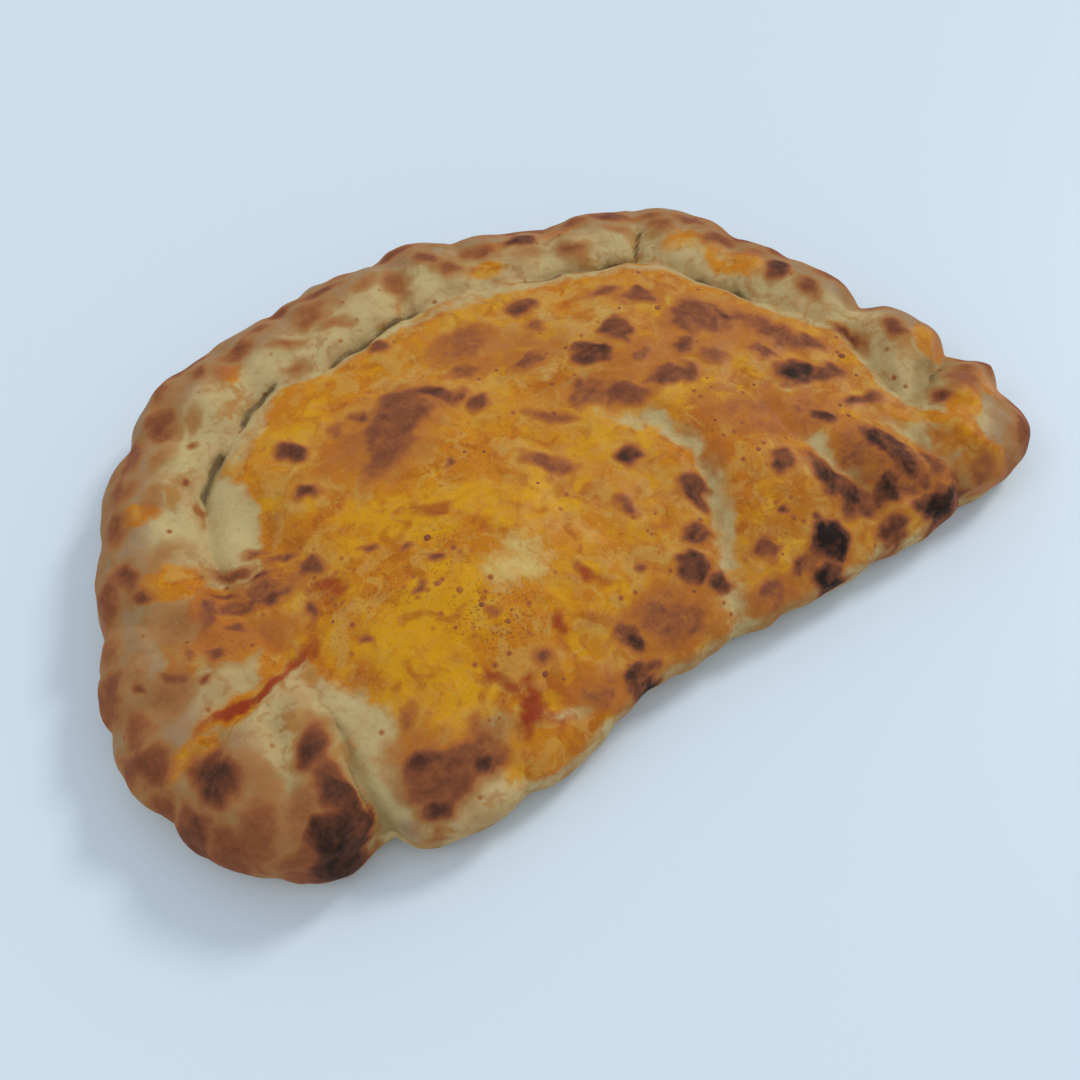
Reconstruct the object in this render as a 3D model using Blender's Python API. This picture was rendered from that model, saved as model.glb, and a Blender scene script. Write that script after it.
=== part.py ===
"""A baked calzone: a round of dough folded over its filling, with the curved side rolled shut.

The whole thing is one closed solid. It is drawn as a fan of columns, one for each step round the
edge. A column climbs from the underside over the rolled (or merely folded) edge, drops into the
tuck where the roll meets the lid, and runs up the lid to the crown.

Local plan, in millimetres: +X along the straight fold, +Y from the fold to the rolled side.
The finished mesh is in metres, +Z up, with its origin under the middle of its own box.
"""

import math

import bmesh
import bpy
import numpy as np
from mathutils import Matrix

MM = 0.001

# The outer edge, through the tips of its lobes, round from the big knob at the left of the fold
EDGE = (
    (-121, 14), (-137, 27), (-149, 50), (-151, 80), (-143, 104), (-132, 128), (-113, 160),
    (-84, 185), (-46, 193), (-12, 196), (20, 194), (49, 180), (83, 170), (100, 162),
    (112, 146), (123, 117), (131, 91), (140, 66), (147, 40), (141, 15), (125, 6),
    (92, 4), (60, 5), (30, 7), (0, 9), (-22, 9), (-42, 3), (-62, 1), (-82, 2), (-106, 11),
)
# Where the edge meets the lid: the tuck behind the roll, or the shoulder of the plain fold
TUCK = (
    (-100, 26), (-97, 48), (-99, 68), (-103, 92), (-100, 112), (-93, 131), (-79, 143),
    (-60, 154), (-38, 153), (-10, 158), (18, 156), (42, 149), (62, 140), (76, 136),
    (88, 116), (101, 90), (111, 72), (108, 48), (108, 30), (100, 18), (80, 16),
    (45, 19), (0, 22), (-42, 17), (-76, 15), (-92, 18),
)
CROWN = (0.0, 88.0)       # plan point where all columns meet, on the lid and underneath
LID_HEIGHT = 31.0         # lid over most of its area, before its swellings

# Sections of the edge, by bearing in degrees about the crown: bearing, height of the top,
# how far round the section turns before it meets the lid (180 would be a full half turn),
# distance in which the lid rises from there
SECTIONS = (
    (-68, 27.0, 42, 30.0), (-52, 27.0, 44, 24.0), (-42, 27.0, 50, 18.0),
    (-34, 27.0, 104, 13.0), (-20, 29.0, 120, 9.0), (2, 28.0, 120, 9.0),
    (25, 28.0, 120, 9.0), (60, 29.0, 114, 10.0), (90, 30.0, 114, 10.0),
    (130, 30.0, 116, 11.0), (165, 28.0, 126, 11.0), (185, 28.0, 116, 11.0),
    (199, 33.0, 122, 10.0), (209, 32.0, 114, 13.0), (216, 27.0, 50, 18.0),
    (228, 27.0, 44, 24.0), (245, 27.0, 42, 30.0),
)

# Swellings and hollows of the lid: x, y, reach in x, reach in y, height
SWELLINGS = {
    "belly": (-35, 60, 48, 38, 9.0),
    "upper_blister": (-30, 114, 26, 16, 3.5),
    "back_swelling": (38, 102, 32, 24, 4.0),
    "second_swelling": (52, 34, 13, 26, 2.6),
    "third_swelling": (88, 28, 9, 20, 2.4),
    "right_taper": (112, 62, 34, 46, -6.0),
    "left_trough": (-88, 112, 12, 22, -8.0),
    "corner_trough": (-91, 38, 8, 24, -6.0),
    "corner_lobe": (-76, 16, 16, 12, 2.5),
}

# Pleats and valleys: reach of the rounded flanks, then plan points with the depth at each
PLEATS = {
    "knob_to_fold": (12.0, [(-108, 0, 8), (-101, 22, 8), (-98, 42, 6), (-100, 60, 1)]),
    "knob_cleft": (10.0, [(-104, 60, 0), (-112, 50, 4), (-118, 36, 3.5), (-121, 22, 0)]),
    "knob_to_first": (13.0, [(-160, 42, 0), (-149, 49, 2), (-138, 54, 5), (-121, 62, 5.5),
                             (-98, 66, 1)]),
    "first_to_second": (9.0, [(-158, 86, 2), (-138, 77, 3), (-126, 66, 0)]),
    "second_to_left": (12.0, [(-156, 118, 0), (-138, 111, 2), (-129, 106, 4), (-126, 96, 2),
                              (-127, 86, 0)]),
    "left_one": (13.0, [(-150, 142, 0), (-126, 138, 1), (-104, 128, 1)]),
    "left_two": (13.0, [(-116, 178, 1), (-98, 164, 1.5), (-82, 148, 2)]),
    "upper_left": (11.0, [(-66, 196, 0), (-60, 172, 2), (-62, 154, 2.5)]),
    "upper_mid": (9.0, [(-40, 202, 1), (-38, 176, 1.5), (-34, 156, 0)]),
    "back_first": (12.0, [(0, 210, 0.5), (3, 186, 2), (0, 172, 4.5), (-4, 158, 3)]),
    "back_second": (11.0, [(34, 200, 2), (26, 176, 3), (24, 156, 2)]),
    "back_third": (12.0, [(70, 190, 0.5), (58, 166, 3), (44, 148, 3)]),
    "back_fourth": (11.0, [(100, 174, 0), (87, 154, 3.5), (76, 137, 4)]),
    "back_fifth": (11.0, [(126, 140, 0), (112, 128, 2), (90, 116, 2)]),
    "knob_one": (12.0, [(146, 84, 3), (124, 80, 5), (106, 80, 2)]),
    "knob_two": (14.0, [(158, 52, 6), (138, 47, 8), (122, 44, 8), (108, 36, 4)]),
    "knob_three": (12.0, [(158, 32, 2), (140, 27, 3.5), (124, 21, 3), (116, 17, 0)]),
    "roll_to_fold": (10.0, [(112, -8, 6), (106, 8, 6), (101, 22, 5), (94, 38, 2), (86, 52, 0)]),
    "main_valley": (8.0, [(20, 84, 0), (34, 73, 2.4), (37, 58, 3.4), (28, 36, 3.2), (20, 16, 1.8),
                          (14, 4, 0)]),
    "second_valley": (9.0, [(66, 66, 0), (66, 46, 3), (74, 26, 4.4), (72, 10, 3.4), (68, -8, 2)]),
    "fold_nick": (10.0, [(-62, -8, 4), (-66, 14, 2.5), (-66, 30, 0)]),
    "left_tuck": (7.0, [(-104, 92, 1), (-100, 112, 3.5), (-93, 131, 3), (-79, 143, 1.5),
                       (-58, 158, 1)]),
    "back_left_tuck": (5.0, [(-42, 152, 0.5), (-24, 155, 2.5), (-4, 158, 2.5), (20, 157, 1)]),
    "back_tuck": (5.0, [(36, 152, 1), (61, 141, 2.5), (76, 137, 2.5)]),
    "back_right_tuck": (5.0, [(80, 130, 2), (92, 108, 2), (100, 92, 1)]),
    "right_tuck": (6.0, [(111, 76, 2), (109, 56, 3.5), (107, 36, 3)]),
}

# Underside
WAIST_HEIGHT = 11.0       # where the edge bulges furthest
UNDERCUT = 9.0            # how far in from there the dough touches the table

# Mesh density
COLUMNS = 144
ROLL_RINGS = 12
LID_RINGS = 14
LID_HALVINGS = (5, 10)    # lid rings at which every second column ends
SOLE_RINGS = 3


def rounded_through(points, steps):
    """A closed Catmull-Rom curve through the points, with that many steps between each two."""
    p1 = np.array(points, float)[:, None]
    p0 = np.roll(p1, 1, axis=0)
    p2 = np.roll(p1, -1, axis=0)
    p3 = np.roll(p1, -2, axis=0)
    t = np.arange(steps)[None, :, None] / steps
    curve = p1 + 0.5 * t * (
        (p2 - p0) + t * ((2 * p0 - 5 * p1 + 4 * p2 - p3) + t * (3 * (p1 - p2) + p3 - p0))
    )
    return curve.reshape(-1, 2)


def turned_about_crown(curve):
    """Bearing in degrees and distance of each point of a closed curve, seen from the crown."""
    east = curve[:, 0] - CROWN[0]
    north = curve[:, 1] - CROWN[1]
    bearing = np.degrees(np.arctan2(north, east))
    order = np.argsort(bearing)
    return bearing[order], np.hypot(east, north)[order]


def edge_and_tuck(count):
    """Evenly spaced points of the edge, the tuck point on each one's way to the crown, bearings."""
    curve = rounded_through(EDGE, 40)
    closed = np.vstack([curve, curve[:1]])
    along = np.concatenate([[0], np.cumsum(np.hypot(*np.diff(closed, axis=0).T))])
    places = np.linspace(along[-1], 0, count, endpoint=False)
    edge = np.column_stack([np.interp(places, along, closed[:, i]) for i in range(2)])
    way = edge - np.array(CROWN)
    bearing = np.degrees(np.arctan2(way[:, 1], way[:, 0]))
    tuck_bearing, tuck_reach = turned_about_crown(rounded_through(TUCK, 40))
    reach = np.interp(bearing, tuck_bearing, tuck_reach, period=360)
    tuck = np.array(CROWN) + way / np.hypot(*way.T)[:, None] * reach[:, None]
    return edge, tuck, bearing


def section_at(bearing):
    """Top height, turn and rise distance of the edge's section, eased from station to station."""
    table = np.array(SECTIONS + ((SECTIONS[0][0] + 360, *SECTIONS[0][1:]),), float)
    bearing = np.where(bearing < table[0, 0], bearing + 360, bearing)
    place = np.interp(bearing, table[:, 0], np.arange(len(table)))
    before = np.minimum(place.astype(int), len(table) - 2)
    share = place - before
    share = (share * share * (3 - 2 * share))[:, None]
    return ((1 - share) * table[before, 1:] + share * table[before + 1, 1:]).T


def line_sink(x, y, reach, line):
    """Depth of one pleat at each plan point: deepest on its line, with rounded flanks."""
    sunk = np.zeros(np.shape(x))
    for (ax, ay, a_depth), (bx, by, b_depth) in zip(line, line[1:]):
        dx = bx - ax
        dy = by - ay
        along = np.clip(((x - ax) * dx + (y - ay) * dy) / (dx * dx + dy * dy), 0, 1)
        away = np.hypot(x - ax - along * dx, y - ay - along * dy)
        flank = 1 - np.sin(np.clip(away / reach, 0, 1) * math.pi / 2)
        sunk = np.maximum(sunk, flank * (a_depth + (b_depth - a_depth) * along))
    return sunk


def pleat_depth(x, y):
    """How far the pleats and valleys push the surface in at each plan point."""
    total = np.zeros(np.shape(x))
    for reach, line in PLEATS.values():
        total = np.maximum(total, line_sink(x, y, reach, line))
    return total


def lid_height(x, y):
    """Height of the lid with its swellings, before pleats."""
    height = np.full(np.shape(x), LID_HEIGHT)
    for cx, cy, rx, ry, rise in SWELLINGS.values():
        height = height + rise * np.exp(-(((x - cx) / rx) ** 2) - ((y - cy) / ry) ** 2)
    return height


def roll_rings(edge, tuck, bearing):
    """Rings from the waist of the edge over its top and down to the tuck."""
    top, turn, _ = section_at(bearing)
    across = tuck - edge
    width = np.hypot(*across.T)
    inward = across / width[:, None]
    turn = np.radians(turn)
    half_width = width / (1 - np.cos(turn))
    axis_line = edge + inward * half_width[:, None]
    last_cos = np.maximum(np.cos(turn), 0)
    rings = []
    for step in range(ROLL_RINGS + 1):
        angle = turn * step / ROLL_RINGS
        plan = axis_line - inward * (np.cos(angle) * half_width)[:, None]
        sunk = pleat_depth(plan[:, 0], plan[:, 1])
        sideways = np.maximum(np.cos(angle) - last_cos, 0) / (1 - last_cos)
        downward = np.minimum(np.sin(angle) / np.sin(turn), 1)
        plan = plan + inward * (sideways * sunk)[:, None]
        z = WAIST_HEIGHT + (top - WAIST_HEIGHT) * np.sin(angle) - sunk * downward
        rings.append(np.column_stack([plan, z]))
    return rings, inward


def lid_rings(tuck, bearing):
    """Rings from the tuck up the lid to just short of the crown."""
    top, turn, rise = section_at(bearing)
    start = WAIST_HEIGHT + (top - WAIST_HEIGHT) * np.sin(np.radians(turn))
    way = np.hypot(tuck[:, 0] - CROWN[0], tuck[:, 1] - CROWN[1])
    rings = []
    for step in range(1, LID_RINGS):
        share = step / LID_RINGS
        x = tuck[:, 0] + (CROWN[0] - tuck[:, 0]) * share
        y = tuck[:, 1] + (CROWN[1] - tuck[:, 1]) * share
        lift = (1 - np.exp(-way * share / rise)) / (1 - np.exp(-way / rise))
        z = start + (lid_height(x, y) - start) * lift - pleat_depth(x, y)
        rings.append(np.column_stack([x, y, z]))
    return rings


def sole_rings(waist, inward):
    """Rings from the waist round under the edge and along the table."""
    rings = []
    for step in range(1, SOLE_RINGS + 1):
        angle = math.pi / 2 * step / SOLE_RINGS
        plan = waist[:, :2] + inward * UNDERCUT * (1 - math.cos(angle))
        z = np.full(len(waist), WAIST_HEIGHT * (1 - math.sin(angle)))
        if step == SOLE_RINGS:
            z[:] = 0.0
        rings.append(np.column_stack([plan, z]))
    return rings


class Fan:
    """Collects rings of points and joins each to the last; a ring may hold half as many points."""

    def __init__(self, first):
        self.points = [tuple(p) for p in first]
        self.faces = []
        self.last = list(range(len(first)))

    def start_from(self, ring):
        """Goes back to an earlier ring, given by its point numbers."""
        self.last = list(ring)

    def join(self, ring, flip):
        """Adds a ring and the faces between it and the last one."""
        start = len(self.points)
        self.points.extend(tuple(p) for p in ring)
        new = list(range(start, start + len(ring)))
        old = self.last
        stride = len(old) // len(new)
        for i, a in enumerate(new):
            b = new[(i + 1) % len(new)]
            if stride == 1:
                c = old[(i + 1) % len(old)]
                self.add((old[i], c, b, a), flip)
            else:
                left = old[2 * i]
                middle = old[2 * i + 1]
                right = old[(2 * i + 2) % len(old)]
                self.add((left, middle, a), flip)
                self.add((middle, b, a), flip)
                self.add((middle, right, b), flip)
        self.last = new

    def close(self, point, flip):
        """Joins the last ring to one point."""
        tip = len(self.points)
        self.points.append(tuple(point))
        for i, a in enumerate(self.last):
            self.add((a, self.last[(i + 1) % len(self.last)], tip), flip)

    def add(self, face, flip):
        self.faces.append(tuple(reversed(face)) if flip else tuple(face))


def calzone_mesh():
    """The whole solid, in metres, still in the local plan."""
    edge, tuck, bearing = edge_and_tuck(COLUMNS)
    rolls, inward = roll_rings(edge, tuck, bearing)
    fan = Fan(rolls[0])
    waist_ring = list(fan.last)
    for ring in rolls[1:]:
        fan.join(ring, flip=False)
    keep = 1
    for number, ring in enumerate(lid_rings(tuck, bearing), start=1):
        if number in LID_HALVINGS:
            keep *= 2
        fan.join(ring[::keep], flip=False)
    crown_height = lid_height(*CROWN) - pleat_depth(*CROWN)
    fan.close((*CROWN, float(crown_height)), flip=False)

    fan.start_from(waist_ring)
    soles = sole_rings(rolls[0], inward)
    for ring in soles:
        fan.join(ring, flip=True)
    middle = np.array([*CROWN, 0.0])
    fan.join((0.5 * (middle + soles[-1]))[::2], flip=True)
    fan.close(middle, flip=True)

    mesh = bpy.data.meshes.new("calzone")
    mesh.from_pydata(fan.points, [], fan.faces)
    mesh.transform(Matrix.Scale(MM, 4))
    split_across_short_way(mesh)
    return mesh


def split_across_short_way(mesh):
    """Cuts each four-sided face along its shorter diagonal, which keeps slanted pleats smooth."""
    work = bmesh.new()
    work.from_mesh(mesh)
    bmesh.ops.triangulate(work, faces=work.faces, quad_method="SHORT_EDGE")
    work.to_mesh(mesh)
    work.free()


def stand_on_origin(mesh):
    """Moves the mesh so that the origin is under the middle of its box."""
    points = np.array([v.co for v in mesh.vertices])
    low = points.min(axis=0)
    high = points.max(axis=0)
    shift = (-(low[0] + high[0]) / 2, -(low[1] + high[1]) / 2, -low[2])
    mesh.transform(Matrix.Translation(shift))


def baked_dough():
    """Golden, slightly glossy dough."""
    material = bpy.data.materials.new("baked_dough")
    material.use_nodes = True
    shader = material.node_tree.nodes["Principled BSDF"]
    shader.inputs["Base Color"].default_value = (0.55, 0.28, 0.07, 1.0)
    shader.inputs["Roughness"].default_value = 0.5
    shader.inputs["Metallic"].default_value = 0.0
    return material


def main():
    """Clears the scene and builds the calzone."""
    for old in list(bpy.data.objects):
        bpy.data.objects.remove(old, do_unlink=True)
    mesh = calzone_mesh()
    stand_on_origin(mesh)
    mesh.materials.append(baked_dough())
    mesh.shade_smooth()
    calzone = bpy.data.objects.new("calzone", mesh)
    bpy.context.scene.collection.objects.link(calzone)


main()
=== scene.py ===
import math

import bmesh
import bpy
import numpy as np
from mathutils import Matrix, Vector, noise


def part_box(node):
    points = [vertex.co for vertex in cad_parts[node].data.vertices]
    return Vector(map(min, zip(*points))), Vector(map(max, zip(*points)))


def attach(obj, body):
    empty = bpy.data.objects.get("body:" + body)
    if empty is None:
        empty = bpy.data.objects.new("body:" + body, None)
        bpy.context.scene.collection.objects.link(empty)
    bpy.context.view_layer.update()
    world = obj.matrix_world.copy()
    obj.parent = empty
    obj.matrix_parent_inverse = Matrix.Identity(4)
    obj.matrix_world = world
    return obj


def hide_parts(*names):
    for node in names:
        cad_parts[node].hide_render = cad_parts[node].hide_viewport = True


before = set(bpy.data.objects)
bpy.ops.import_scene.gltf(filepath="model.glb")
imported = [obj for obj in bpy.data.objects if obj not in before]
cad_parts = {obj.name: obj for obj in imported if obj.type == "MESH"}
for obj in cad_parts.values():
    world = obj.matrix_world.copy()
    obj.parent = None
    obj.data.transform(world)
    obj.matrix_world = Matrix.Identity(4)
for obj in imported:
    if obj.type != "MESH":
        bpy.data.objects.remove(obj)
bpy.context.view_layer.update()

# A calzone straight from the oven, on a pale table top.
# Plan places are in millimetres in the baker's frame: x along the fold, y from the fold to the roll.
# Bearings are in degrees about the crown, counted from +x towards +y.

mm = 0.001

doughShape = {
    "crown": (0.0, 88.0),          # all columns of the mesh meet here
    "lidHeight": 31.0,
    "waistHeight": 11.0,           # where the edge bulges furthest
    "undercut": 9.0,               # from there in to where the dough touches the table
    "columns": 600,
    "rollRings": 56,
    "lidRings": 112,
    "lidHalvings": (72, 98),       # rings at which every second column ends
    "soleRings": 12,
    "soleFlatRings": 14,
    "soleHalvings": (1, 8),        # flat rings underneath that do the same
    "lidMargin": 8.0,              # from the tuck in to where the lid is all lid
    "creaseRound": 0.9,            # radius at the bottom of a crease
    # the outer edge through the tips of its lobes, from the big knob clockwise
    "edge": (
        (-121, 14), (-137, 27), (-149, 50), (-151, 80), (-143, 104), (-132, 128), (-113, 160),
        (-84, 185), (-46, 193), (-12, 196), (20, 194), (49, 180), (83, 170), (100, 162),
        (112, 146), (123, 117), (131, 91), (140, 66), (147, 40), (141, 15), (125, 6),
        (92, 4), (60, 5), (30, 7), (0, 9), (-22, 9), (-42, 3), (-62, 1), (-82, 2), (-106, 11),
    ),
    # where the edge meets the lid: the tuck behind the roll, or the shoulder of the plain fold
    "tuck": (
        (-100, 26), (-97, 48), (-99, 68), (-103, 92), (-100, 112), (-93, 131), (-79, 143),
        (-60, 154), (-38, 153), (-10, 158), (18, 156), (42, 149), (62, 140), (76, 136),
        (88, 116), (101, 90), (111, 72), (108, 48), (108, 30), (100, 18), (80, 16),
        (45, 19), (0, 22), (-42, 17), (-76, 15), (-92, 18),
    ),
    # sections of the edge: bearing, height of the top, turn before the lid starts, rise distance
    "sections": (
        (-68, 27.0, 42, 30.0), (-52, 27.0, 44, 24.0), (-42, 27.0, 50, 18.0),
        (-34, 27.0, 104, 13.0), (-20, 29.0, 120, 9.0), (2, 28.0, 120, 9.0),
        (25, 28.0, 120, 9.0), (60, 29.0, 114, 10.0), (90, 30.0, 114, 10.0),
        (130, 30.0, 116, 11.0), (165, 28.0, 126, 11.0), (185, 28.0, 116, 11.0),
        (199, 33.0, 122, 10.0), (209, 32.0, 114, 13.0), (216, 27.0, 50, 18.0),
        (228, 27.0, 44, 24.0), (245, 27.0, 42, 30.0),
    ),
    # swellings and hollows of the lid: x, y, reach in x, reach in y, height
    "swellings": {
        "belly": (-35, 60, 48, 38, 9.0),
        "upperBlister": (-30, 114, 26, 16, 3.5),
        "backSwelling": (38, 102, 32, 24, 4.0),
        "secondSwelling": (52, 34, 13, 26, 2.6),
        "thirdSwelling": (88, 28, 9, 20, 2.4),
        "rightTaper": (112, 62, 34, 46, -6.0),
        "leftTrough": (-88, 112, 12, 22, -8.0),
        "cornerTrough": (-91, 38, 8, 24, -6.0),
        "cornerLobe": (-76, 16, 16, 12, 2.5),
    },
    # pleats and valleys: reach of the rounded flanks, then plan places with the depth at each
    "pleats": {
        "knobToFold": (11.0, [(-108, 0, 8), (-101, 22, 6), (-98, 42, 4), (-100, 60, 0)]),
        "fanOne": (6.0, [(-144, 100, 0.6), (-130, 92, 1.4), (-114, 84, 1)]),
        "fanTwo": (6.0, [(-146, 70, 0.6), (-128, 74, 1.4), (-110, 78, 0.8)]),
        "knobCleft": (10.0, [(-104, 60, 0), (-112, 50, 4), (-118, 36, 3.5), (-121, 22, 0)]),
        "knobToFirst": (13.0, [(-160, 42, 0), (-149, 49, 2), (-138, 54, 5), (-121, 62, 5.5),
                               (-98, 66, 1)]),
        "firstToSecond": (9.0, [(-158, 86, 2), (-138, 77, 3), (-126, 66, 0)]),
        "secondToLeft": (12.0, [(-156, 118, 0), (-138, 111, 2), (-129, 106, 4), (-126, 96, 2),
                                (-127, 86, 0)]),
        "leftOne": (13.0, [(-150, 142, 0), (-126, 138, 1), (-104, 128, 1)]),
        "leftTwo": (13.0, [(-116, 178, 1), (-98, 164, 1.5), (-82, 148, 2)]),
        "upperLeft": (11.0, [(-66, 196, 0), (-60, 172, 2), (-62, 154, 2.5)]),
        "upperMid": (9.0, [(-40, 202, 1), (-38, 176, 1.5), (-34, 156, 0)]),
        "backFirst": (12.0, [(0, 210, 0.5), (3, 186, 2), (0, 172, 4.5), (-4, 158, 3)]),
        "backSecond": (11.0, [(34, 200, 2), (26, 176, 3), (24, 156, 2)]),
        "backThird": (12.0, [(70, 190, 0.5), (58, 166, 3), (44, 148, 3)]),
        "backFourth": (11.0, [(100, 174, 0), (87, 154, 3.5), (76, 137, 4)]),
        "backFifth": (11.0, [(126, 140, 0), (112, 128, 2), (90, 116, 2)]),
        "knobOne": (12.0, [(146, 84, 3), (124, 80, 5), (106, 80, 2)]),
        "knobTwo": (14.0, [(158, 52, 6), (138, 47, 8), (122, 44, 8), (108, 36, 4)]),
        "knobThree": (12.0, [(158, 32, 2), (140, 27, 3.5), (124, 21, 3), (116, 17, 0)]),
        "rollToFold": (10.0, [(112, -8, 6), (106, 8, 6), (101, 22, 5), (94, 38, 2), (86, 52, 0)]),
        "mainValley": (8.0, [(20, 84, 0), (34, 73, 2.4), (37, 58, 3.4), (28, 36, 3.2),
                             (20, 16, 1.8), (14, 4, 0)]),
        "secondValley": (9.0, [(66, 66, 0), (66, 46, 3), (74, 26, 4.4), (72, 10, 3.4),
                               (68, -8, 2)]),
        "foldNick": (10.0, [(-62, -8, 4), (-66, 14, 2.5), (-66, 30, 0)]),
        "leftTuck": (7.0, [(-104, 92, 1), (-100, 112, 3.5), (-93, 131, 3), (-79, 143, 1.5),
                          (-58, 158, 1)]),
        "backLeftTuck": (5.0, [(-42, 152, 0.5), (-24, 155, 2.5), (-4, 158, 2.5), (20, 157, 1)]),
        "backTuck": (5.0, [(36, 152, 1), (61, 141, 2.5), (76, 137, 2.5)]),
        "backRightTuck": (5.0, [(80, 130, 2), (92, 108, 2), (100, 92, 1)]),
        "rightTuck": (6.0, [(111, 76, 2), (109, 56, 3.5), (107, 36, 3)]),
    },
    # slits where the dough has parted a little: plan places, and how far it has parted at each
    "slits": {
        "left": [(-96, 124, 0), (-92, 132, 1.5), (-86, 138, 3), (-80, 142, 2)],
        "leftUpper": [(-76, 144, 0), (-68, 150, 2), (-60, 155, 2.5), (-50, 157, 0)],
        "upper": [(-40, 152, 0), (-32, 154, 2.5), (-20, 156, 2), (-6, 159, 2.5), (4, 158, 0)],
        "back": [(30, 152, 0.5), (46, 146, 3), (60, 141, 3), (74, 137, 3), (83, 147, 1.5)],
        "backRight": [(84, 124, 0), (88, 114, 2.5), (93, 106, 2), (98, 94, 0)],
        "knob": [(-99, 52, 0), (-98, 40, 0.8), (-101, 26, 1.1), (-104, 14, 0.9)],
        "knobSide": [(-148, 50, 0), (-138, 54, 0.9), (-126, 60, 0.7), (-112, 65, 0)],
        "rightKnob": [(134, 46, 0.5), (124, 44, 1.5), (112, 37, 0.5)],
    },
}


def roundedThrough(points, steps):
    # a closed Catmull-Rom curve through the points
    p1 = np.array(points, float)[:, None]
    p0 = np.roll(p1, 1, axis=0)
    p2 = np.roll(p1, -1, axis=0)
    p3 = np.roll(p1, -2, axis=0)
    t = np.arange(steps)[None, :, None] / steps
    curve = p1 + 0.5 * t * (
        (p2 - p0) + t * ((2 * p0 - 5 * p1 + 4 * p2 - p3) + t * (3 * (p1 - p2) + p3 - p0))
    )
    return curve.reshape(-1, 2)


def edgeAndTuck(shape):
    # evenly spaced edge points, the tuck point on each one's way to the crown, and bearings
    crown = np.array(shape["crown"])
    curve = roundedThrough(shape["edge"], 60)
    closed = np.vstack([curve, curve[:1]])
    along = np.concatenate([[0], np.cumsum(np.hypot(*np.diff(closed, axis=0).T))])
    places = np.linspace(along[-1], 0, shape["columns"], endpoint=False)
    edge = np.column_stack([np.interp(places, along, closed[:, i]) for i in range(2)])
    way = edge - crown
    bearing = np.degrees(np.arctan2(way[:, 1], way[:, 0]))
    tuckWay = roundedThrough(shape["tuck"], 60) - crown
    tuckBearing = np.degrees(np.arctan2(tuckWay[:, 1], tuckWay[:, 0]))
    order = np.argsort(tuckBearing)
    reach = np.interp(bearing, tuckBearing[order], np.hypot(*tuckWay[order].T), period=360)
    tuck = crown + way / np.hypot(*way.T)[:, None] * reach[:, None]
    return edge, tuck, bearing


def sectionAt(shape, bearing):
    first = shape["sections"][0]
    table = np.array(shape["sections"] + ((first[0] + 360, *first[1:]),), float)
    bearing = np.where(bearing < table[0, 0], bearing + 360, bearing)
    place = np.interp(bearing, table[:, 0], np.arange(len(table)))
    before = np.minimum(place.astype(int), len(table) - 2)
    share = place - before
    share = (share * share * (3 - 2 * share))[:, None]
    return ((1 - share) * table[before, 1:] + share * table[before + 1, 1:]).T


def lineSink(x, y, reach, line):
    # depth of one pleat: deepest on its line, with rounded flanks
    sunk = np.zeros(np.shape(x))
    for (ax, ay, aDepth), (bx, by, bDepth) in zip(line, line[1:]):
        dx = bx - ax
        dy = by - ay
        along = np.clip(((x - ax) * dx + (y - ay) * dy) / (dx * dx + dy * dy), 0, 1)
        away = np.hypot(x - ax - along * dx, y - ay - along * dy)
        away = np.hypot(away, doughShape["creaseRound"]) - doughShape["creaseRound"]
        flank = 1 - np.sin(np.clip(away / reach, 0, 1) * math.pi / 2)
        sunk = np.maximum(sunk, flank * (aDepth + (bDepth - aDepth) * along))
    return sunk


def pleatDepth(shape, x, y):
    total = np.zeros(np.shape(x))
    for reach, line in shape["pleats"].values():
        total = np.maximum(total, lineSink(x, y, reach, line))
    return total


def lidHeight(shape, x, y):
    height = np.full(np.shape(x), shape["lidHeight"])
    for cx, cy, rx, ry, rise in shape["swellings"].values():
        height = height + rise * np.exp(-(((x - cx) / rx) ** 2) - ((y - cy) / ry) ** 2)
    return height


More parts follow.
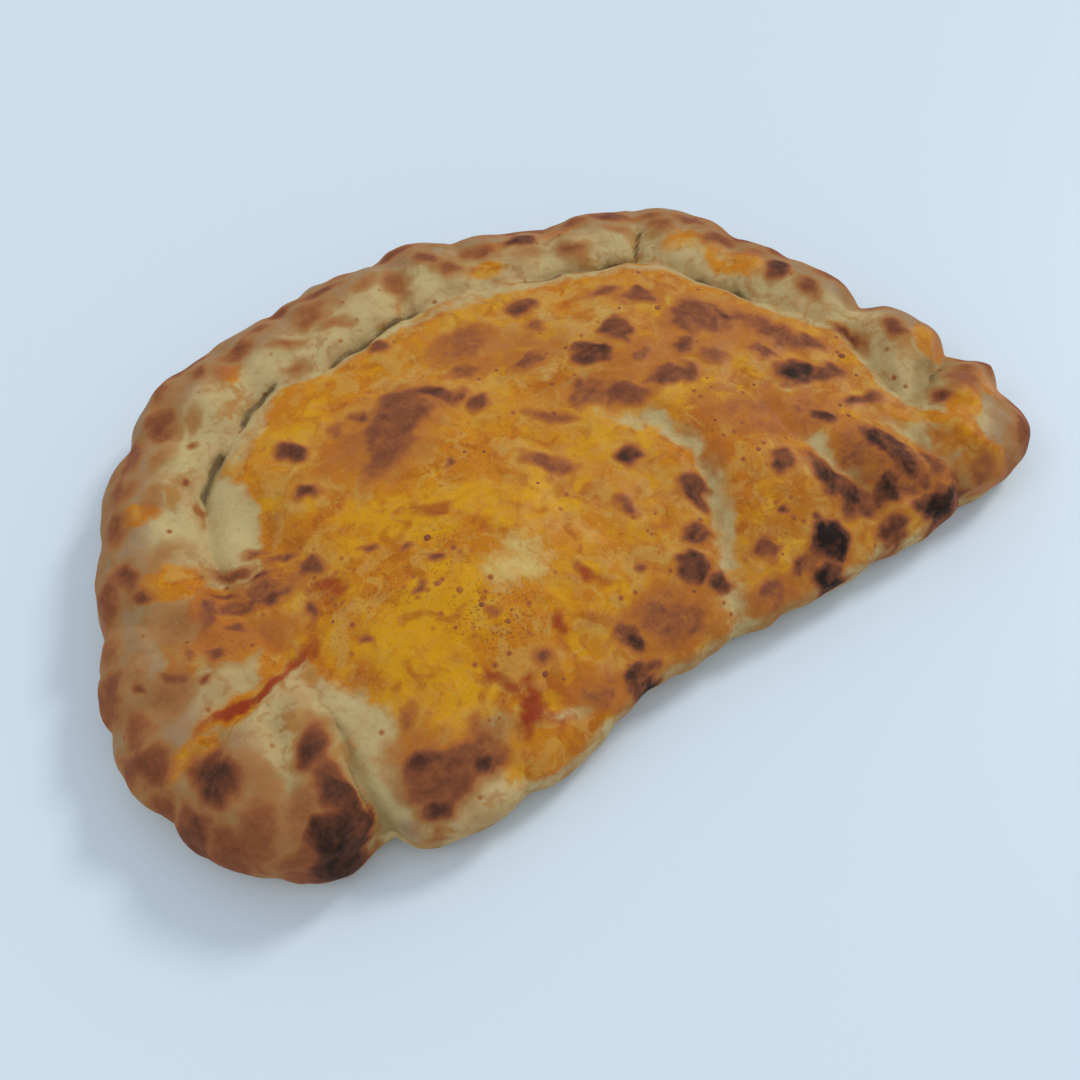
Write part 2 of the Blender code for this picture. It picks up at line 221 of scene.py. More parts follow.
def doughRings(shape):
    # rings from the waist over the edge and up the lid, then from the waist down and under
    edge, tuck, bearing = edgeAndTuck(shape)
    top, turn, rise = sectionAt(shape, bearing)
    waist = shape["waistHeight"]
    crown = shape["crown"]
    across = tuck - edge
    width = np.hypot(*across.T)
    inward = across / width[:, None]
    turn = np.radians(turn)
    halfWidth = width / (1 - np.cos(turn))
    axisLine = edge + inward * halfWidth[:, None]
    lastCos = np.maximum(np.cos(turn), 0)
    upper = []
    for step in range(shape["rollRings"] + 1):
        angle = turn * step / shape["rollRings"]
        plan = axisLine - inward * (np.cos(angle) * halfWidth)[:, None]
        sunk = pleatDepth(shape, plan[:, 0], plan[:, 1])
        sideways = np.maximum(np.cos(angle) - lastCos, 0) / (1 - lastCos)
        downward = np.minimum(np.sin(angle) / np.sin(turn), 1)
        plan = plan + inward * (sideways * sunk)[:, None]
        z = waist + (top - waist) * np.sin(angle) - sunk * downward
        lidness = np.full(len(z), (step / shape["rollRings"]) * 0.5)
        upper.append(np.column_stack([plan, z, lidness, sunk]))
    start = waist + (top - waist) * np.sin(turn)
    way = np.hypot(tuck[:, 0] - crown[0], tuck[:, 1] - crown[1])
    for step in range(1, shape["lidRings"]):
        share = step / shape["lidRings"]
        x = tuck[:, 0] + (crown[0] - tuck[:, 0]) * share
        y = tuck[:, 1] + (crown[1] - tuck[:, 1]) * share
        lift = (1 - np.exp(-way * share / rise)) / (1 - np.exp(-way / rise))
        sunk = pleatDepth(shape, x, y)
        z = start + (lidHeight(shape, x, y) - start) * lift - sunk
        lidness = 0.5 + 0.5 * np.minimum(way * share / shape["lidMargin"], 1.0)
        upper.append(np.column_stack([x, y, z, lidness, sunk]))
    rim = upper[0][:, :2]
    lower = []
    for step in range(1, shape["soleRings"] + 1):
        angle = math.pi / 2 * step / shape["soleRings"]
        plan = rim + inward * shape["undercut"] * (1 - math.cos(angle))
        z = np.full(len(plan), waist * (1 - math.sin(angle)))
        if step == shape["soleRings"]:
            z[:] = 0.0
        blank = np.zeros(len(z))
        lower.append(np.column_stack([plan, z, blank, blank]))
    contact = lower[-1][:, :2]
    for step in range(1, shape["soleFlatRings"]):
        plan = contact + (np.array(crown) - contact) * step / shape["soleFlatRings"]
        blank = np.zeros(len(plan))
        lower.append(np.column_stack([plan, blank, blank, blank]))
    return upper, lower


class Fan:  # joins rings of points into faces; a ring may hold half as many points as the last
    def __init__(self, first):
        self.points = list(first)
        self.faces = []
        self.last = list(range(len(first)))

    def goBackTo(self, ring):
        self.last = list(ring)

    def join(self, ring, flip):
        start = len(self.points)
        self.points.extend(ring)
        new = list(range(start, start + len(ring)))
        old = self.last
        stride = len(old) // len(new)
        for i, a in enumerate(new):
            b = new[(i + 1) % len(new)]
            if stride == 1:
                self.add((old[i], old[(i + 1) % len(old)], b, a), flip)
            else:
                left = old[2 * i]
                middle = old[2 * i + 1]
                right = old[(2 * i + 2) % len(old)]
                self.add((left, middle, a), flip)
                self.add((middle, b, a), flip)
                self.add((middle, right, b), flip)
        self.last = new

    def close(self, point, flip):
        tip = len(self.points)
        self.points.append(point)
        for i, a in enumerate(self.last):
            self.add((a, self.last[(i + 1) % len(self.last)], tip), flip)

    def add(self, face, flip):
        self.faces.append(tuple(reversed(face)) if flip else tuple(face))


def doughFan(shape):
    upper, lower = doughRings(shape)
    crown = shape["crown"]
    fan = Fan(upper[0])
    waistRing = list(fan.last)
    keep = 1
    for number, ring in enumerate(upper[1:], start=1):
        if number - shape["rollRings"] in shape["lidHalvings"]:
            keep *= 2
        fan.join(ring[::keep], flip=False)
    crownHeight = float(lidHeight(shape, *crown) - pleatDepth(shape, *crown))
    fan.close(np.array([*crown, crownHeight, 1.0, 0.0]), flip=False)
    fan.goBackTo(waistRing)
    keep = 1
    for number, ring in enumerate(lower, start=1):
        if number - shape["soleRings"] in shape["soleHalvings"]:
            keep *= 2
        fan.join(ring[::keep], flip=True)
    fan.close(np.array([*crown, 0.0, 0.0, 0.0]), flip=True)
    return np.array(fan.points), fan.faces


# patches: x, y, half length, half width, turn in degrees, strength
ovenMarks = {  # name: width of the soft edge, then the marks
    "blisters": (3.6, (
        (-33, 116, 15, 10, 50, 0.8), (-42, 106, 10, 6, 10, 0.74), (-24, 121, 9, 6, -30, 0.66),
        (2, 133, 12, 8.5, 5, 0.58), (71, 100, 13, 9, -10, 0.74), (88, 86, 14, 6, -60, 0.76),
        (-82, 15, 13, 8.5, -10, 0.84), (-70, 15, 8, 6, 20, 0.74),
    )),
    "charred": (2.4, (
        (-19, 119, 5.4, 3, -35, 1.1), (-14, 115, 3, 2.5, 0, 0.95), (83, 66, 7, 5.2, -20, 1.1),
        (55, 15, 7.4, 6.2, 0, 1.24), (50, 6, 5.4, 3.6, -15, 1.2), (18, 67, 4.2, 3.4, -22, 1.12),
        (-88, 9, 6, 3.4, -26, 1.12), (-84, 19, 4, 3.4, 0, 1.02), (-71, 13, 4, 2.6, 70, 1.1),
        (-16, 7, 7, 3, -15, 1.2), (92, 7, 8, 4, -15, 1.16), (101, 8, 5, 3, 0, 1.0),
        (79, 96, 3, 2.4, 0, 1.0), (-114, 16, 9, 6, -10, 1.2), (-107, 20, 5, 7, 0, 1.1),
        (45, 166, 6, 4.4, -20, 1.05), (109, 105, 6, 4.6, 38, 1.05), (-122, 109, 4, 3, -62, 0.95),
    )),
    "lidSpots": (1.9, (
        (-9, 109, 4.6, 3.6, -60, 0.9), (-65, 127, 5, 3.8, -36, 0.98),
        (-67, 111, 4.6, 3.2, -20, 0.95), (-50, 125, 4.6, 3.4, 30, 0.62),
        (-41, 126, 4, 2.6, -70, 0.76), (-20, 148, 4.4, 3, -48, 0.8), (26, 136, 5, 3.6, -45, 0.84),
        (24, 126, 4.4, 3, -46, 0.76), (15, 114, 6, 3.4, -6, 0.72), (31, 105, 6, 5, -59, 0.98),
        (44, 109, 6.4, 4.6, 57, 0.84), (20, 93, 6, 4.4, 30, 0.74), (32, 86, 9, 4, -30, 0.84),
        (49, 84, 10, 4.8, -19, 0.86), (26, 89, 9, 5, -30, 0.62), (91, 62, 8, 3.8, -20, 0.86),
        (92, 47, 4, 2.4, -3, 1.0), (97, 45, 5, 3.4, -14, 0.78), (77, 46, 4.4, 3.2, -70, 0.96),
        (111, 70, 6, 2.4, -78, 0.94), (87, 26, 13, 4.4, -78, 0.96), (80, 17, 7, 4.4, -23, 0.94),
        (66, 27, 12, 4.4, -76, 0.96), (72, 18, 6, 4.4, -60, 0.8), (55, 40, 4.6, 3.6, 11, 0.9),
        (7, 91, 8.6, 2.8, -50, 0.72), (-4, 77, 8.6, 2.8, -46, 0.78), (7, 54, 4, 3.2, 40, 0.76),
        (28, 48, 5, 3.4, -50, 0.94), (20, 36, 4.6, 3.4, 10, 0.84), (13, 28, 5, 4, -7, 0.98),
        (18, 21, 5, 3.6, -30, 0.96), (-16, 22, 5, 3.6, -60, 0.92), (-18, 12, 5.4, 3.4, -14, 0.96),
        (-80, 87, 5, 3.4, -60, 0.9), (-82, 31, 4, 3.2, 45, 0.6), (-40, 27, 2.6, 2.2, 0, 0.88),
        (0, 37, 2.4, 2, 0, 0.84), (74, 8, 6, 3, -14, 0.9), (60, 118, 7, 4, -30, 0.74),
        (54, 126, 6, 3, -20, 0.66), (-4, 122, 6, 3.4, -20, 0.6), (58, 92, 5, 3.4, 10, 0.78),
        (64, 84, 5, 3, -30, 0.7), (80, 78, 5, 3.6, -40, 0.76), (98, 74, 6, 3.4, -60, 0.8),
        (44, 96, 5, 3, 0, 0.66), (36, 22, 4, 3, 0, 0.8), (44, 12, 5, 3, -20, 0.78),
        (30, 12, 5, 3, -10, 0.72),
    )),
    "mottledBrown": (6.0, (
        (0, 20, 14, 9, -20, 0.6), (-30, 12, 9, 5, -15, 0.5), (30, 10, 12, 5, -15, 0.6),
        (40, 52, 7, 5, 30, 0.4), (-85, 22, 9, 8, 0, 0.46), (98, 15, 9, 6, -50, 0.7),
        (-118, 92, 13, 8, -48, 0.56), (-112, 82, 12, 8, -30, 0.46), (80, 30, 8, 12, 0, 0.5),
        (14, 122, 20, 9, -20, 0.3), (44, 96, 18, 9, -30, 0.34), (28, 90, 14, 6, -20, 0.5),
        (60, 60, 16, 10, -40, 0.4), (-48, 118, 12, 8, 30, 0.45), (-130, 78, 10, 6, 40, 0.6),
        (-100, 78, 9, 6, -30, 0.5), (-92, 90, 10, 5, -30, 0.6), (-34, 112, 22, 14, 40, 0.34),
        (74, 94, 22, 16, -20, 0.32), (76, 50, 9, 10, 0, 0.45),
    )),
    "leftTuckSpecks": (1.6, (
        (-97, 103, 8, 1.9, -28, 0.72), (-84, 97, 5, 2, -28, 0.74), (-101, 90, 10, 2.4, -14, 0.74),
        (-92, 87, 5, 2.4, -20, 0.9), (-111, 92, 6, 3, 60, 0.8), (-87, 74, 2.3, 1.7, 0, 0.9),
        (-51, 65, 2, 1.8, 0, 0.9), (-55, 74, 2, 1.7, 0, 0.85), (-64, 81, 2.8, 1.5, -30, 0.8),
        (-61, 61, 2.2, 1.8, 0, 0.8), (-80, 56, 2.8, 1.4, -50, 0.9), (-45, 45, 2, 1.6, 0, 0.8),
        (-28, 93, 1.7, 1.3, 0, 0.85), (46, 29, 2, 1.6, 0, 0.9), (55, 22, 2, 1.6, 0, 0.85),
        (-136, 83, 2.8, 1.9, -45, 0.9), (-128, 82, 4, 1.9, -29, 0.85), (-120, 84, 3, 2, 20, 0.8),
        (-122, 76, 3, 1.8, -40, 0.85), (-113, 80, 3, 2, 10, 0.85), (-106, 84, 4, 1.8, -30, 0.85),
        (-104, 96, 5, 2, -30, 0.85), (-92, 96, 5, 1.6, -28, 0.8), (-88, 104, 4, 1.6, -28, 0.7),
        (-87, 150, 2.2, 1.2, -20, 0.8), (-95, 136, 1.6, 1.3, 0, 0.85), (-97, 127, 3, 1, 61, 0.7),
    )),
    "leftRoll": (4.2, (
        (-57, 177, 7.5, 3.4, -10, 0.78), (-90, 163, 9.5, 4.6, 50, 0.84), (-73, 174, 6, 4, 35, 0.76),
        (-47, 180, 6, 3.6, 10, 0.72), (-43, 167, 6, 3.6, -29, 0.62), (-29, 175, 8.5, 6, 20, 0.68),
        (-22, 185, 9, 3.8, 5, 0.9), (-25, 165, 6, 3, -22, 0.6), (0, 173, 7, 4.4, 88, 0.7),
        (15, 176, 5, 4.4, -60, 0.9), (18, 167, 6, 4, -41, 0.8), (-46, 157, 5, 3, -15, 0.6),
        (10, 187, 9, 3.6, -5, 0.9), (-104, 160, 9, 5, 55, 0.8), (-112, 148, 8, 5, 60, 0.76),
        (-119, 136, 7, 5, 70, 0.8), (-124, 118, 7, 5, -88, 0.9), (-98, 150, 7, 4, 40, 0.55),
        (-132, 116, 8, 6, 70, 0.78), (-145, 90, 11, 6, 85, 0.78), (-142, 74, 9, 6, 80, 0.74),
        (-144, 63, 8, 6, -42, 0.9), (-149, 66, 6, 5, 80, 0.8), (-72, 184, 9, 3.6, 30, 0.84),
        (-84, 176, 7, 4.4, 40, 0.7), (-112, 116, 8, 5, 20, 0.48), (-66, 170, 7, 4, 30, 0.56),
        (-82, 158, 6, 3, 45, 0.5), (-106, 136, 6, 4, 70, 0.56), (-10, 178, 6, 4, 10, 0.6),
        (-36, 186, 8, 3, 5, 0.8), (-138, 104, 6, 5, 70, 0.7),
    )),
    "bigKnob": (5.0, (
        (-131, 47, 9, 6.6, -82, 1.12), (-143, 41, 9, 7, -60, 0.95), (-107, 38, 8, 4.4, 70, 1.12),
        (-109, 26, 8, 5, 60, 1.1), (-129, 28, 10, 7, 60, 0.74), (-124, 16, 10, 6, -30, 0.8),
        (-138, 30, 9, 7, -50, 0.82), (-122, 40, 6, 10, 0, 0.5), (-148, 52, 7, 5, 70, 0.84),
        (-116, 24, 10, 8, 0, 0.6),
    )),
    "rightRoll": (3.8, (
        (32, 168, 8, 5, -30, 0.72), (57, 171, 7, 3.4, -15, 0.84), (67, 162, 7, 5, -30, 0.8),
        (58, 151, 6, 4, -35, 0.74), (80, 160, 9, 4, -30, 0.9), (89, 144, 6, 4.4, -80, 0.78),
        (100, 140, 7, 4.4, -50, 0.8), (102, 128, 7.4, 4.4, -10, 0.84), (112, 126, 9, 4, -60, 0.84),
        (118, 112, 8, 4, -65, 0.8), (112, 93, 5.5, 4, -66, 0.82), (124, 94, 8, 5, -70, 0.8),
        (131, 76, 9, 6, -50, 0.8), (141, 64, 10, 6, -60, 0.86), (136, 72, 8, 5, -50, 0.74),
        (123, 63, 4.6, 5, -20, 1.0), (118, 35, 4.6, 3.6, 61, 1.0), (129, 36, 8, 6, 30, 0.7),
        (141, 42, 9, 5, -75, 0.86), (134, 12, 8, 5, 40, 0.84), (141, 18, 7, 5, -80, 0.88),
        (112, 8, 5, 3, -26, 0.7), (124, 5, 8, 4, 0, 0.66), (44, 158, 7, 4, -25, 0.5),
        (76, 150, 6, 4, -40, 0.56), (108, 116, 7, 4, -60, 0.6), (50, 174, 8, 3, -15, 0.7),
        (92, 152, 7, 4, -50, 0.7),
    )),
}

barePatches = (  # dough that stayed pale: x, y, half length, half width, turn, strength
    (-91, 119, 18, 9, 82, 1.1), (-93, 102, 8, 5, 80, 0.9), (-72, 141, 11, 4, 40, 0.7),
    (-92, 37, 14, 6, 98, 1.0), (-95, 20, 8, 6, 60, 0.9), (-106, 122, 10, 7, -20, 1.0),
    (-131, 91, 9, 3, 60, 0.8), (-133, 75, 9, 2, 40, 0.8), (-112, 73, 5, 2.6, -44, 0.8),
    (-117, 34, 9, 3.4, 100, 0.9), (-61, 19, 5, 3.4, 0, 0.6), (-41, 11, 8, 2, -9, 0.6),
    (-93, 150, 14, 7, 45, 1.0), (-52, 166, 10, 8, 20, 0.9), (-14, 168, 13, 8, 10, 0.9),
    (10, 163, 8, 5, 0, 0.9), (48, 156, 10, 5, -25, 0.9), (73, 150, 7, 5, -40, 0.9),
    (-12, 153, 10, 2.4, 5, 0.9), (-66, 148, 9, 2.6, 38, 0.8), (104, 98, 12, 4, -62, 0.6),
    (117, 84, 8, 4, -60, 0.8), (114, 56, 7, 4, -70, 0.8), (122, 46, 8, 3, -60, 0.8),
    (110, 42, 8, 3, -60, 0.8), (127, 21, 7, 4, 20, 0.7), (100, 120, 6, 4, -60, 0.4),
    (86, 128, 6, 5, 0, 0.5), (-77, 160, 8, 6, 40, 0.7), (91, 24, 9, 2, -74, 0.5),
)

bareLines = (  # pale lines in valleys: half width, places with strength
    (4.6, [(20, 83, 0.4), (33, 75, 0.9), (38, 62, 0.74), (35, 46, 0.84), (27, 32, 0.76),
           (17, 12, 0.74)]),
    (3.8, [(66, 50, 0.3), (70, 38, 0.74), (73, 28, 0.8), (74, 20, 0.3)]),
    (3.4, [(92, 42, 0.3), (98, 30, 0.8), (103, 16, 0.8), (107, 2, 0.6)]),
    (3.0, [(84, 58, 0.3), (76, 64, 0.4), (66, 70, 0.1)]),
    (3.6, [(-40, 150, 0.3), (-12, 153, 0.66), (18, 151, 0.74), (44, 144, 0.74), (62, 135, 0.7),
           (78, 128, 0.6), (92, 106, 0.6), (103, 86, 0.5)]),
    (3.0, [(-6, 104, 0.1), (10, 100, 0.36), (24, 98, 0.4), (38, 94, 0.1)]),
)

sauceSmears = (  # oily sauce that ran onto the roll
    (-114, 107, 10, 6, -20, 1.0), (-110, 132, 8, 5, -55, 0.9), (-63, 168, 6, 4.4, 50, 0.9),
    (-104, 92, 12, 9, -20, 0.8), (-114, 63, 15, 4.6, 4, 1.0), (-134, 58, 9, 4, 12, 0.9),
    (-99, 68, 9, 6, 30, 1.0), (-106, 81, 13, 8, -20, 0.9), (-122, 84, 9, 6, -30, 0.6),
    (99, 117, 11, 7, -55, 0.9), (92, 132, 8, 5, -40, 0.7), (107, 106, 8, 5, -60, 0.6),
    (120, 27, 9, 6, 17, 0.9), (110, 18, 9, 7, -81, 0.9), (114, 9, 8, 6, -26, 0.9),
    (126, 34, 8, 4, 20, 0.7), (36, 166, 9, 4, -25, 0.6), (26, 160, 7, 4, 0, 0.8),
    (-6, 164, 9, 4, 0, 0.35), (108, 30, 8, 4, -80, 0.9), (-112, 80, 12, 7, -20, 0.5),
    (112, 74, 7, 3, -70, 0.5), (66, 152, 5, 3, 0, 0.4), (-144, 96, 5, 3, 60, 0.5),
    (60, 164, 9, 5, -25, 0.6), (84, 156, 7, 4, -40, 0.5), (124, 104, 6, 4, -60, 0.5),
    (131, 54, 7, 5, -60, 0.9), (136, 30, 7, 6, -60, 0.8), (46, 170, 9, 4, -20, 0.5),
    (-30, 172, 7, 4, 10, 0.4), (-96, 158, 6, 4, 50, 0.35), (-90, 170, 6, 3, 45, 0.4),
)

tomatoStreaks = (  # redder sauce
    (-52, 17, 8, 3.6, 50, 1.0), (-47, 12, 5, 3, -20, 0.7), (-15, 41, 6.4, 3, -42, 0.8),
    (-30, 32, 4, 2.6, 71, 0.9), (-55, 27, 7, 2.6, -62, 0.9), (-118, 63, 10, 2.4, -3, 1.1),
    (-106, 61, 9, 3, 8, 1.0), (-97, 64, 8, 3, 30, 0.8), (-90, 70, 7, 3, 40, 0.5),
    (-79, 76, 8, 4.6, -31, 0.7), (-42, 79, 9, 3.4, -50, 0.65), (-33, 68, 5, 3, -40, 0.5),
    (-90, 52, 9, 4, -40, 0.4), (-79, 111, 8, 3, 70, 0.45), (42, 34, 10, 3.6, 70, 0.45),
    (-46, 18, 8, 5, -30, 0.5), (70, 72, 12, 7, -40, 0.35), (-20, 28, 8, 7, 0, 0.35),
    (10, 44, 8, 3, -30, 0.35), (-70, 40, 12, 4, -40, 0.35),
)

cheeseAndHighlightPatches = (  # melted cheese that shows pale through the sauce; the first two, on the top of the belly, are also a painted highlight
    (-33, 52, 11, 7, 0, 1.0), (-28, 57, 6, 5, 0, 1.0), (-45, 46, 9, 6, -10, 0.35),
    (-112, 73, 7, 3.4, -30, 0.9), (-104, 80, 8, 4, -20, 0.6), (-98, 84, 8, 3, -30, 0.5),
    (28, 120, 28, 13, -20, 0.56), (-14, 130, 18, 10, 0, 0.46), (70, 82, 16, 14, -30, 0.42),
    (92, 96, 10, 14, 30, 0.4), (16, 108, 8, 4, -20, 0.6), (52, 106, 5, 5, 0, 0.35),
    (-62, 32, 8, 3, -50, 0.3), (36, 71, 7, 3, -15, 0.5), (-60, 75, 8, 5, -20, 0.25),
    (-20, 40, 6, 5, 0, 0.2), (60, 62, 10, 6, -20, 0.2),
)

yellowPools = (  # where the glaze is more cheese oil than tomato
    (-64, 48, 20, 14, 30, 1.0), (-18, 70, 22, 10, -20, 0.8), (22, 73, 14, 8, -20, 1.0),
    (50, 75, 12, 4, -20, 1.0), (-52, 84, 20, 9, -30, 0.8), (14, 146, 10, 5, 0, 0.9),
    (-52, 138, 14, 5, 35, 0.6), (20, 122, 12, 6, -20, 0.6), (60, 108, 5, 10, 0, 0.6),
    (46, 26, 9, 9, 0, 0.6), (-66, 30, 8, 8, 0, 0.7), (-24, 40, 8, 6, 0, 0.6),
)

searedZones = (  # broad parts of the lid that the heat has turned a browner orange
    (-20, 12, 50, 16, -4, 0.9), (60, 36, 34, 40, 0, 0.8), (40, 112, 52, 26, -20, 0.5),
    (-36, 120, 26, 14, 20, 0.4), (96, 66, 18, 26, 30, 0.7), (92, 22, 18, 22, 0, 1.0),
    (-92, 96, 16, 12, -20, 0.9), (-2, 66, 20, 8, -50, 0.5), (20, 44, 16, 20, 0, 0.6),
)

speckleZones = (  # where small brown specks crowd
    (-46, 42, 13, 10, 0, 1.0), (-98, 94, 20, 10, -20, 1.0), (-56, 66, 16, 12, 0, 0.6),
    (46, 28, 10, 10, 0, 0.6), (0, 18, 16, 10, -15, 0.8), (-110, 80, 14, 10, -30, 0.8),
    (60, 60, 20, 12, -30, 0.6), (30, 110, 24, 16, 0, 0.4), (-30, 92, 12, 8, 0, 0.5),
    (110, 110, 12, 14, 0, 0.4), (-80, 70, 10, 12, 0, 0.5), (-40, 166, 30, 10, 15, 0.3),
)


wandering = {  # of the outlines of patches: how far, and the size of the waves
    "broad": 3.0,
    "broadSize": 11.0,
    "fine": 1.7,
    "fineSize": 3.6,
    "seed": 3.0,
}


def wander(points, seed):
    broad = wandering["broad"] * noiseField(points, wandering["broadSize"], seed)
    return broad + wandering["fine"] * noiseField(points, wandering["fineSize"], seed + 4.0)


def warped(points):
    # pushes plan places about a little, so that no patch keeps a drawn outline
    seed = wandering["seed"]
    return points[:, 0] + wander(points, seed), points[:, 1] + wander(points, seed + 9.0)


def acrossPatch(x, y, patch, spread):
    # the points round a patch, and their places on it, with its tips and its sides at 1
    cx, cy, halfLength, halfWidth, turn, strength = patch
    reach = halfLength * spread
    near = np.nonzero((abs(x - cx) < reach) & (abs(y - cy) < reach))[0]
    c = math.cos(math.radians(turn))
    s = math.sin(math.radians(turn))
    u = ((x[near] - cx) * c + (y[near] - cy) * s) / halfLength
    v = ((y[near] - cy) * c - (x[near] - cx) * s) / halfWidth
    return near, u, v


def patchField(x, y, patches, edge):
    # strength inside each patch, fading over an edge that many millimetres wide
    total = np.zeros(len(x))
    for patch in patches:
        halfWidth, turn, strength = patch[3:]
        near, u, v = acrossPatch(x, y, patch, 2.2)
        soft = min(0.85, edge / halfWidth)
        share = np.clip((1 + soft - np.hypot(u, v)) / (2 * soft), 0, 1)
        total[near] = np.maximum(total[near], strength * share * share * (3 - 2 * share))
    return total


def lineField(x, y, lines):
    total = np.zeros(len(x))
    for halfWidth, line in lines:
        total = np.maximum(total, lineSink(x, y, halfWidth * 1.8, line))
    return total


def noiseField(points, size, seed):
    shift = Vector((seed, seed * 0.7, -seed))
    return np.array([noise.noise(Vector(p) / size + shift) for p in points])


def smooth(low, high, value):
    share = np.clip((value - low) / (high - low), 0, 1)
    return share * share * (3 - 2 * share)


relief = {
    "blisterRise": 0.11,      # of a baked patch's half width
    "slitWidth": 2.2,
    "slitDepth": 1.3,
    "slitOpen": 1.5,          # parted this far, a slit shows in full
    "slitFading": 1.2,        # distance added for each step short of that
    "slitFar": 6.0,           # no slit is felt from further away
    "lumpSize": 17.0,
    "lumpHeight": 0.9,
    "rollLumpSize": 9.0,
    "rollLumpHeight": 1.3,
    "rippleSize": 6.0,
    "rippleHeight": 0.42,
}


def blisteredMarks():
    return [mark for group in ("blisters", "charred", "lidSpots") for mark in ovenMarks[group][1]]


def blisterRise(x, y):
    total = np.zeros(len(x))
    for mark in blisteredMarks():
        halfWidth, turn, strength = mark[3:]
        near, u, v = acrossPatch(x, y, mark, 1.6)
        dome = np.clip(1.3 - u * u - v * v, 0, 1.3) / 1.3
        height = relief["blisterRise"] * halfWidth * min(strength, 1.0)
        total[near] = np.maximum(total[near], height * np.sqrt(dome) * np.minimum(dome * 3, 1))
    return total


def slitAway(x, y):
    # millimetres to the nearest slit, counted as further where it has hardly parted
    away = np.full(len(x), relief["slitFar"])
    for line in doughShape["slits"].values():
        for (ax, ay, aPart), (bx, by, bPart) in zip(line, line[1:]):
            dx = bx - ax
            dy = by - ay
            along = np.clip(((x - ax) * dx + (y - ay) * dy) / (dx * dx + dy * dy), 0, 1)
            gap = np.hypot(x - ax - along * dx, y - ay - along * dy)
            part = aPart + (bPart - aPart) * along
            shut = np.clip(relief["slitOpen"] - part, 0, relief["slitOpen"])
            away = np.minimum(away, gap + relief["slitFading"] * shut)
    return away


def doughFields(table, wx, wy):
    # what each point tells the finish, nearly all from 0 to 1; wx and wy are its warped place
    x, y, z, lidness, sunk = table.T
    top = smooth(2.0, 9.0, z)
    halos = [(cx, cy, 1.2 * length + 2, 1.2 * width + 2, turn, strength)
             for cx, cy, length, width, turn, strength in blisteredMarks()]
    plainFold = smooth(34.0, 24.0, y) * smooth(-98.0, -90.0, x) * smooth(112.0, 104.0, x)
    fields = {
        "baked": np.maximum.reduce([
            patchField(wx, wy, marks, edge) for edge, marks in ovenMarks.values()]) * top,
        "halo": patchField(wx, wy, halos, 5.0) * top,
        "bare": np.maximum(patchField(wx, wy, barePatches, 4.0), lineField(wx, wy, bareLines)),
        "tomato": patchField(wx, wy, tomatoStreaks, 2.5) * top,
        "cheese": patchField(wx, wy, cheeseAndHighlightPatches, 6.0) * top,
        "pool": patchField(wx, wy, yellowPools, 6.0) * top,
        "speckled": patchField(wx, wy, speckleZones, 5.0) * top,
        "seared": patchField(wx, wy, searedZones, 12.0) * top,
        "rim": smooth(0.42, 0.2, lidness) * (1 - plainFold) * smooth(7.0, 17.0, z),
        "sunk": np.clip(sunk / 6.0, 0, 1),
        "under": 1 - smooth(0.3, 3.6, z),
        "slit": slitAway(wx * 0.3 + x * 0.7, wy * 0.3 + y * 0.7),
    }
    sauce = np.maximum(smooth(0.52, 0.86, lidness), patchField(wx, wy, sauceSmears, 3.0))
    sauce = np.maximum(sauce, plainFold * smooth(10.0, 17.0, z) * smooth(-74.0, -60.0, x))
    fields["sauce"] = sauce * (1 - np.clip(fields["bare"], 0, 1)) * top
    bubbly = (fields["speckled"] * 0.6 + fields["seared"] * 0.3) * fields["sauce"]
    fields["bubbly"] = bubbly * smooth(0.5, 0.1, fields["baked"])
    return fields


def doughRelief(table, wx, wy, slit):
    # how far each point stands out: lumps, knobbly roll, ripples, blisters and slits
    points = table[:, :3]
    upright = smooth(1.0, 6.0, points[:, 2])
    lumps = noiseField(points, relief["lumpSize"], 5.0) * relief["lumpHeight"]
    ripples = noiseField(points, relief["rippleSize"], 11.0) * relief["rippleHeight"]
    knobbly = noiseField(points, relief["rollLumpSize"], 2.0) * relief["rollLumpHeight"]
    lumps = lumps + knobbly * (0.35 + 0.65 * smooth(0.7, 0.3, table[:, 3]))
    rise = (lumps + ripples + blisterRise(wx, wy)) * upright
    return rise - relief["slitDepth"] * smooth(relief["slitWidth"], 0.0, slit) * upright


def bakeDough():
    print("dough: shaping")
    table, faces = doughFan(doughShape)
    points = table[:, :3]
    low = points.min(axis=0)
    high = points.max(axis=0)

    print("dough: oven marks")
    wx, wy = warped(points)
    fields = doughFields(table, wx, wy)

    print("dough: relief")
    rise = doughRelief(table, wx, wy, fields["slit"])
    mesh = bpy.data.meshes.new("calzoneDough")
    mesh.from_pydata([tuple(p) for p in points], [], faces)
    mesh.update()
    normals = np.array([v.vector for v in mesh.vertex_normals])
    points = points + normals * rise[:, None]
    box = [np.array(corner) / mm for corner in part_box("calzone")]
    shift = (box[0] + box[1]) / 2 - (low + high) / 2
    shift[2] = 0.0
    mesh.vertices.foreach_set("co", ((points + shift) * mm).ravel())
    mesh.update()
    for name, values in fields.items():
        layer = mesh.attributes.new(name, "FLOAT", "POINT")
        layer.data.foreach_set("value", values.astype(np.float32))
    mesh.shade_smooth()
    piece = bpy.data.objects.new("calzoneDough", mesh)
    bpy.context.scene.collection.objects.link(piece)
    return piece, shift


def paint(red, green, blue):
    # a colour as seen on a screen, 0 to 255, turned into a linear one
    linear = []
    for value in (red, green, blue):
        value = value / 255
        linear.append(value / 12.92 if value <= 0.04045 else ((value + 0.055) / 1.055) ** 2.4)
    return (*linear, 1.0)


